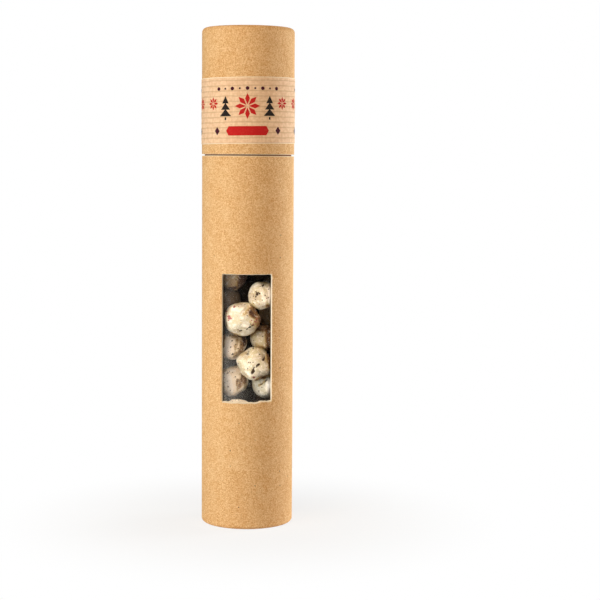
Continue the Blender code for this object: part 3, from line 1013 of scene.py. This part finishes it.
# Painted shade on the sweets' shaded sides and hollows; a depth below zero gives a painted highlight
lightShadeStrokes = (
    (3, 121.4, 5, 118.4, 1.8, 0.9), (2.2, 117.8, 3.9, 116, 1.9, 2.2), (4.4, 116.6, 5.2, 113.4, 1.8, 1.5),
    (3.4, 119.2, 4.6, 117.6, 1.2, 1.6), (2, 112.8, 2.5, 111.2, 1.1, 0.6),
    (-1.4, 110.4, 0.4, 110, 1.2, -0.9), (0.8, 93.8, 2.2, 93, 1.1, 0.6), (6.8, 76.4, 11.2, 79.6, 0.8, 0.9),
    (7.9, 115.2, 8.3, 110, 2.6, 2.6), (8.2, 110, 9.2, 107.6, 1.6, 1.2), (-1.5, 117.4, 2, 119, 1.8, 1.2),
    (4.6, 112.5, 5, 107.5, 1.8, 1.1), (-3.6, 112.2, -2.2, 112, 0.7, 0.5),
    (5.4, 113.8, 6.2, 110, 1.6, 1.9), (6.8, 108, 2, 103.9, 1.8, 1.3), (0.4, 119.4, 2.4, 117.6, 1.6, 0.8),
    (-4, 104.6, -9, 106.2, 1, 0.9), (5, 134, 10, 133.6, 1.2, 0.8), (5.5, 106.6, 10.5, 106.4, 0.9, 1.5),
    (11.6, 94, 12.2, 87.4, 1.9, 1.5), (5, 80.8, 12.6, 81, 1.2, 1.4), (-2, 86, -0.5, 84.2, 0.8, 0.5),
    (8, 72.6, 12, 72, 1.8, -0.6), (-0.6, 83.6, -1, 74.5, 1.2, 0.7), (11.6, 80, 11.8, 74.5, 1.6, -1.6),
    (-3.4, 95.5, -2.4, 102, 2.4, 1), (-9, 103.6, -5, 103.2, 1.5, 0.8), (-6, 72.6, -3.5, 73, 1.1, 0.6),
    (5, 98.6, 9, 97.6, 1.3, 1.1), (-3.8, 82.4, -3.6, 80, 1.2, 0.5), (-5.4, 101.4, -6.2, 97, 1.2, 0.9),
    (-10.2, 93.6, -6.2, 94.4, 1.6, 0.9), (-5, 79.6, -5.6, 76.8, 0.9, 1.2),
    (-1.6, 81.6, -1.2, 78.2, 1.3, 1.4), (-2.5, 82.4, -3.1, 78.5, 1.1, 1.5),
    (-3.1, 78.5, -4.6, 75.6, 1.1, 1.4), (-4.6, 75.6, -7.2, 72.8, 1.1, 1),
    (11.4, 107.4, 11.8, 97, 2.2, 1.9), (11.4, 121, 12.6, 113, 1.4, 1.6),
    (-6.5, 119, -2, 118.4, 2.4, -0.8), (-10, 81.2, -9.2, 77, 2.6, -2.2), (-9, 76, -8, 72.4, 2.4, -2.2),
    (-12, 84, -11.8, 76, 1.5, 0.8), (-10, 87, -5, 87.4, 1, 0.4), (-8.8, 84.2, -6.6, 84.4, 1.3, -1.8),
    (-2.2, 91.5, 0, 88.4, 2, -0.5), (-9.8, 100.4, -9.8, 94.6, 2.2, -2.2), (12, 130, 12.6, 122, 1.3, -1.4),
    (0, 85.2, 8, 83.6, 1.4, -0.7), (-12.8, 103.4, -12.8, 98, 1, 1.6), (-7, 98.5, -6.4, 96.6, 0.9, 0.9),
    (-2.2, 102.5, -1.4, 99, 1.4, 2.6), (-4.6, 103.8, -1.5, 102.6, 1, 2), (-2.4, 138, -2.8, 130, 2.8, 3.4),
    (-9.6, 129.6, -6.5, 130.2, 1.2, 2.4), (8.2, 128.6, 9.4, 124, 2.2, -0.5), (-3, 70.2, -8, 70, 1, -0.9),
)

# Swellings and dents of the sweets in the window: across, up, width and height, in millimetres
swells = (
    (-3.6, 90.4, 3.4, 0.8), (-1.6, 84.9, 2.1, 0.9), (1.4, 82.4, 2.4, 0.9), (11, 85.6, 2.6, 1.2),
    (8.6, 81.8, 3, -1.2), (-0.8, 97.6, 2.4, -0.9), (5.6, 94.2, 4.4, 0.6), (5.6, 79.6, 3, 1),
    (2, 84, 2.8, 0.4), (10, 88, 4.5, 0.8), (0.2, 94.6, 1.9, -1), (0.9, 87.4, 2.6, -0.5),
    (4.3, 87.6, 1.4, -0.5), (9, 92.8, 1.3, -0.5), (2.8, 116.6, 2, -0.9), (6.6, 112, 3.6, 2.2),
    (4.4, 105.6, 2.4, 0.6), (-1.4, 112.2, 1.6, -0.35), (-6.5, 118, 2.6, 0.5), (-3.4, 106.6, 2.2, -0.4),
    (0.8, 108.8, 1.4, -0.35), (-7.5, 109, 2.8, 0.5), (0.5, 119.5, 2.4, 0.4), (4.3, 130.6, 1.5, 0.6),
    (3, 127.2, 1.7, 0.5), (5.9, 127.5, 1.4, -0.5), (7.4, 123.8, 1.6, -0.35), (9.9, 119.8, 1.7, -0.6),
    (9.2, 131.9, 1.6, -0.35), (4.8, 122.4, 2, 0.4), (6.2, 132.8, 2.2, 0.9), (2, 126.2, 2.2, 0.6),
    (-10.6, 115.6, 3, 0.5), (-8.6, 93.4, 3.2, 2), (-9.6, 96.8, 2.8, 0.8), (-4.1, 99.4, 3, 0.7),
    (-6.9, 96.2, 1.4, -0.6), (-4.4, 94, 1.8, -0.4), (-4.4, 68.6, 6, -1.1), (-9.2, 81.4, 3.8, 0.7),
    (-2.8, 76.2, 3, 0.5), (-4.4, 78.6, 1.3, -0.7), (-5.4, 75.4, 1.3, -0.6), (-8.2, 72.4, 4, 2.2),
    (-8, 87.6, 4, -0.4), (9, 72.8, 3.2, 0.9), (11.4, 72.8, 2.4, 0.8), (12.4, 77, 3, 1.5),
    (8.6, 77.9, 1.2, -0.4), (11, 75.4, 2, 0.4), (5.2, 73.8, 2, 0.3), (7, 103.4, 2.4, 0.5),
    (10.4, 100.6, 1.8, -0.5),
)

strokes = {"crack": cracks, "blush": blushes, "strokeLightShade": lightShadeStrokes}


# Strength of the strongest stroke at each point (n, 2), less that of the strongest pale one, whose depth is
# below zero: full up to this share of its half width, and gone one half width farther out
def strokeStrength(flat, strokes, full):
    table = np.array(strokes)
    start = table[None, :, 0:2] * mm
    run = table[None, :, 2:4] * mm - start
    share = ((flat[:, None] - start) * run).sum(-1) / (run**2).sum(-1)
    away = flat[:, None] - start - run * np.clip(share, 0, 1)[..., None]
    near = np.linalg.norm(away, axis=-1) / (table[None, :, 4] * mm)
    depths = np.clip(1 + full - near, 0, 1) * table[None, :, 5]
    return depths.max(axis=1) + np.minimum(depths.min(axis=1), 0)


# Sum of sines of the directions along random vectors of this length, scaled to a spread of about one
def waves(draw, ways, length, count=9):
    along = draw.normal(size=(count, 3))
    along *= length / np.linalg.norm(along, axis=1, keepdims=True)
    return np.sin(ways @ along.T + draw.uniform(0, math.tau, count)).sum(axis=1) / math.sqrt(count / 2)


# Sweet: directions on a latitude and longitude grid; its radius is one plus lumps, knobs and crumbs, each a
# sum of sines, less a few bell-shaped dents, and the whole is scaled to the CAD ball's box
def buildSweet(node, seed, coating, look, inFront):
    low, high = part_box(node)
    draw = np.random.default_rng(seed)
    rows, columns = look["frontGrid"] if inFront else look["backGrid"]
    tilt = np.linspace(0, math.pi, rows)[1:-1, None]
    turn = np.linspace(0, math.tau, columns, endpoint=False)[None]
    level = np.sin(tilt)
    ways = np.stack(np.broadcast_arrays(level * np.cos(turn), level * np.sin(turn), np.cos(tilt)), axis=-1)
    ways = np.vstack([ways.reshape(-1, 3), [[0, 0, 1], [0, 0, -1]]])
    lump, knob, crumb = (size * waves(draw, ways, length) for size, length in
                         (look["lump"], look["knob"], look["crumb"]))
    dentAt = draw.normal(size=(look["dents"], 3))
    dentAt /= np.linalg.norm(dentAt, axis=1, keepdims=True)
    apart = np.arccos(np.clip(ways @ dentAt.T, -1, 1)) / look["dentWidth"]
    dent = look["dentDepth"] * np.exp(-apart**2).sum(axis=1)
    skin = 1 + lump + knob + crumb - dent
    middle = (np.array(low) + np.array(high)) / 2
    halves = (np.array(high) - np.array(low)) / 2
    offset = ways * skin[:, None]
    offset = 2 * (offset - offset.min(axis=0)) / (offset.max(axis=0) - offset.min(axis=0)) - 1
    points = middle + offset * halves * (look["plump"] if inFront else 1)
    # How sunk each point is, for the painted shade in the hollows
    hollowShade = (dent - knob - look["hollowShadeLump"] * lump) / look["dentDepth"]
    hollowShade = np.clip(hollowShade, 0, look["hollowShadeMost"])
    marks = {name: np.zeros(len(points)) for name in strokes}
    if inFront:
        flat = points[:, [0, 2]]
        shown = ways[:, 1] < look["turnedAway"]
        for name in strokes:
            marks[name] = strokeStrength(flat, strokes[name], look["strokeFull"][name]) * shown
        table = np.array(swells) * mm
        beside = np.linalg.norm(flat[:, None] - table[None, :, 0:2], axis=-1) / table[None, :, 2]
        fade = look["swellFade"]
        swell = (table[None, :, 3] * np.exp(-beside**2)).sum(axis=1)
        swell = swell * np.clip(look["turnedAway"] - ways[:, 1], 0, fade) / fade
        points += ways * (swell - look["crackDepth"] * marks["crack"])[:, None]
        out = np.hypot(points[:, 0], points[:, 1])
        points[:, :2] *= np.minimum(1, look["boreRadius"] / out)[:, None]
    # Each sweet's painted light or shade
    sweetLightShade = np.full(len(points), look["sweetLightShades"].get(node, look["frontLightShade"] if inFront else look["hiddenSweetShade"]))
    rows -= 2
    cells = gridCells(rows, columns, closeColumns=True)[:, ::-1]
    fans = poleFans(rows, columns)[:, [0, 2, 1]]
    layers = {"hollowShade": hollowShade, "sweetLightShade": sweetLightShade, **marks}
    name = node.replace("treat_", "sweet")
    groups = [cells, fans]
    makePiece(name, points, groups, [coating, coating], "tube", [node], layers=layers)


def buildSweets(coating, look):
    nodes = sorted(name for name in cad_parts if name.startswith("treat_"))
    for seed, node in enumerate(nodes, start=1):
        buildSweet(node, seed, coating, look, inFront=seed <= look["frontCount"])
    print(len(nodes), "sweets")


# Studio

studio = {
    "floorSize": 6.0,
    "floorTone": 0.88,
    "shadowShare": 0.20,
    "shadowReach": (0.03, 0.15),  # the floor's shadow is whole up to the first distance, gone at the second
    "ambient": 0.04,
    "ambientTint": (1.0, 0.90, 0.80, 1.0),
    "lampTarget": (0, 0, 0.14),
}

# Lamps: degrees round from the camera's side, degrees up, metres away, sizes, light thrown, and tint
lamps = {
    "key": (-50, 0, 0.64, (0.34, 0.34), 0.613, (0.81, 0.96, 1.05)),
    "front": (-22, 38, 1.00, (0.60, 0.60), 0.335, (1.0, 0.66, 0.32)),
    "top": (-12, 72, 0.90, (0.50, 0.50), 0.26, (1.0, 0.90, 0.76)),
    "rim": (110, 2, 0.80, (0.36, 0.34), 0.97, (0.97, 1.0, 1.02)),
    "low": (-72, -27, 0.20, (0.10, 0.06), 0.085, (1.0, 1.0, 1.0)),
}


# White to the camera, mirrors and glass; the plain surface to everything else, and for the kept share
def whiteToSight(tree, plain, shown, keep):
    path = addNode(tree, "ShaderNodeLightPath")
    seen = reckon(tree, path.outputs["Is Camera Ray"], path.outputs["Is Glossy Ray"], "MAXIMUM")
    seen = reckon(tree, seen, path.outputs["Is Transmission Ray"], "MAXIMUM")
    share = reckon(tree, seen, reckon(tree, 1.0, keep, "SUBTRACT"), "MULTIPLY")
    return addNode(tree, "ShaderNodeMixShader", {0: share, 1: plain, 2: shown}).outputs[0]


def buildStudio(look, lampTable):
    size = look["floorSize"] / 2
    mesh = bpy.data.meshes.new("floor")
    corners = [(-size, -size, 0), (size, -size, 0), (size, size, 0), (-size, size, 0)]
    mesh.from_pydata(corners, [], [(0, 1, 2, 3)])
    putObject("floor", mesh)
    material, tree, shader = newFinish("floorPaper", roughness=0.9, specular=0.0)
    shader.inputs["Base Color"].default_value = (*[look["floorTone"]] * 3, 1.0)
    white = addNode(tree, "ShaderNodeEmission", {"Color": (1, 1, 1, 1), "Strength": 1.0})
    away = addNode(tree, "ShaderNodeVectorMath", {0: objectPoint(tree)}, operation="LENGTH")
    keep = spread(tree, away.outputs["Value"], *look["shadowReach"], look["shadowShare"], 0.0)
    surface = whiteToSight(tree, shader.outputs[0], white.outputs[0], keep)
    tree.links.new(surface, tree.nodes["Material Output"].inputs["Surface"])
    mesh.materials.append(material)

    world = bpy.data.worlds.new("studio")
    bpy.context.scene.world = world
    world.use_nodes = True
    tree = world.node_tree
    plain = tree.nodes["Background"]
    plain.inputs["Color"].default_value = look["ambientTint"]
    plain.inputs["Strength"].default_value = look["ambient"]
    white = addNode(tree, "ShaderNodeBackground", {"Color": (1, 1, 1, 1), "Strength": 1.0})
    sky = whiteToSight(tree, plain.outputs[0], white.outputs[0], keep=0.0)
    tree.links.new(sky, tree.nodes["World Output"].inputs["Surface"])

    target = Vector(look["lampTarget"])
    for name, (around, up, away, lampSize, light, tint) in lampTable.items():
        turn = math.radians(around)
        lift = math.radians(up)
        way = Vector((math.sin(turn) * math.cos(lift), -math.cos(turn) * math.cos(lift), math.sin(lift)))
        lamp = bpy.data.lights.new(name, "AREA")
        lamp.shape = "RECTANGLE"
        lamp.size, lamp.size_y = lampSize
        lamp.energy = light * (math.pi * away) ** 2
        lamp.color = tint
        holder = putObject(name, lamp)
        holder.location = target + way * away
        holder.rotation_euler = way.to_track_quat("Z", "Y").to_euler()
        holder.visible_camera = False
    print("studio")


camera = {
    "at": (13.60 * mm, -870.86 * mm, 199.69 * mm),
    "yaw": -1.0,
    "pitch": -5.059,
    "roll": 0.368,
    "lens": 95.48,
    "sensor": 36.0,
    "nearest": 0.01,
}


def buildCamera(look):
    data = bpy.data.cameras.new("camera")
    data.lens = look["lens"]
    data.sensor_width = look["sensor"]
    data.clip_start = look["nearest"]
    eye = putObject("camera", data)
    turn = (
        Matrix.Rotation(math.radians(look["yaw"]), 4, "Z")
        @ Matrix.Rotation(math.radians(90 + look["pitch"]), 4, "X")
        @ Matrix.Rotation(math.radians(look["roll"]), 4, "Z")
    )
    eye.matrix_world = Matrix.Translation(look["at"]) @ turn
    bpy.context.scene.camera = eye


buildCamera(camera)
bpy.context.scene.view_settings.view_transform = "Standard"

# How far the edge marks reach: the paler band below the body's rim, partly worn edge and partly painted
# highlight, and the painted shade at the cap's edge and along the groove on the neck
edgeMarkReach = {"body": 0.75 * mm, "cap": 0.40 * mm, "neck": 0.8 * mm}
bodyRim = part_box("body_tube")[1].z
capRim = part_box("cap_sleeve")[0].z
bandLow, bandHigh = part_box("label_band")
# The cap's kraft takes a dark edge colour: painted shade along its lower edge, darkening the groove
capKraftEdgeShade = dict(kraftPaper, edgeWearLightShade=(0.30, 0.12, 0.04))
bodyKraft = kraftFinish("bodyKraft", kraftPaper, [(bodyRim, edgeMarkReach["body"])])
capKraft = kraftFinish("capKraft", capKraftEdgeShade, [(capRim, edgeMarkReach["cap"])])
neckBoard = kraftFinish("neckBoard", plainBoard, [((bodyRim + capRim) / 2, edgeMarkReach["neck"])])
discBoard = kraftFinish("discBoard", discPaper)
boardCut = cutBoardFinish("boardCut", cutBoard)
lining = liningFinish(liningPaintedShade)
inks = {name: inkFinish(name, *colours, inkPrint) for name, colours in inkColours.items()}

buildBodyTube(bodyKraft, boardCut, lining, bodyTube, boardEdges)
buildCapTube(capKraft, boardCut, capTube, boardEdges)
buildNeck(neckBoard, boardCut, lining, neckTube, boardEdges)
buildDisc("baseDisc", "base_disc", "tube", discBoard, boardCut, discLook, boardEdges)
buildDisc("capDisc", "cap_disc", "cap", discBoard, boardCut, discLook, boardEdges)
buildFilm(filmFinish(clearFilm), filmSheet)
bandHeight = bandHigh.z + band["above"] - bandLow.z + band["below"]
buildBand(bandFinish(bandPaper, bandHeight), band)
buildOrnament(inks, ornament, band)
buildSweets(coatingFinish(sweetCoating, coats), sweets)
buildStudio(studio, lamps)
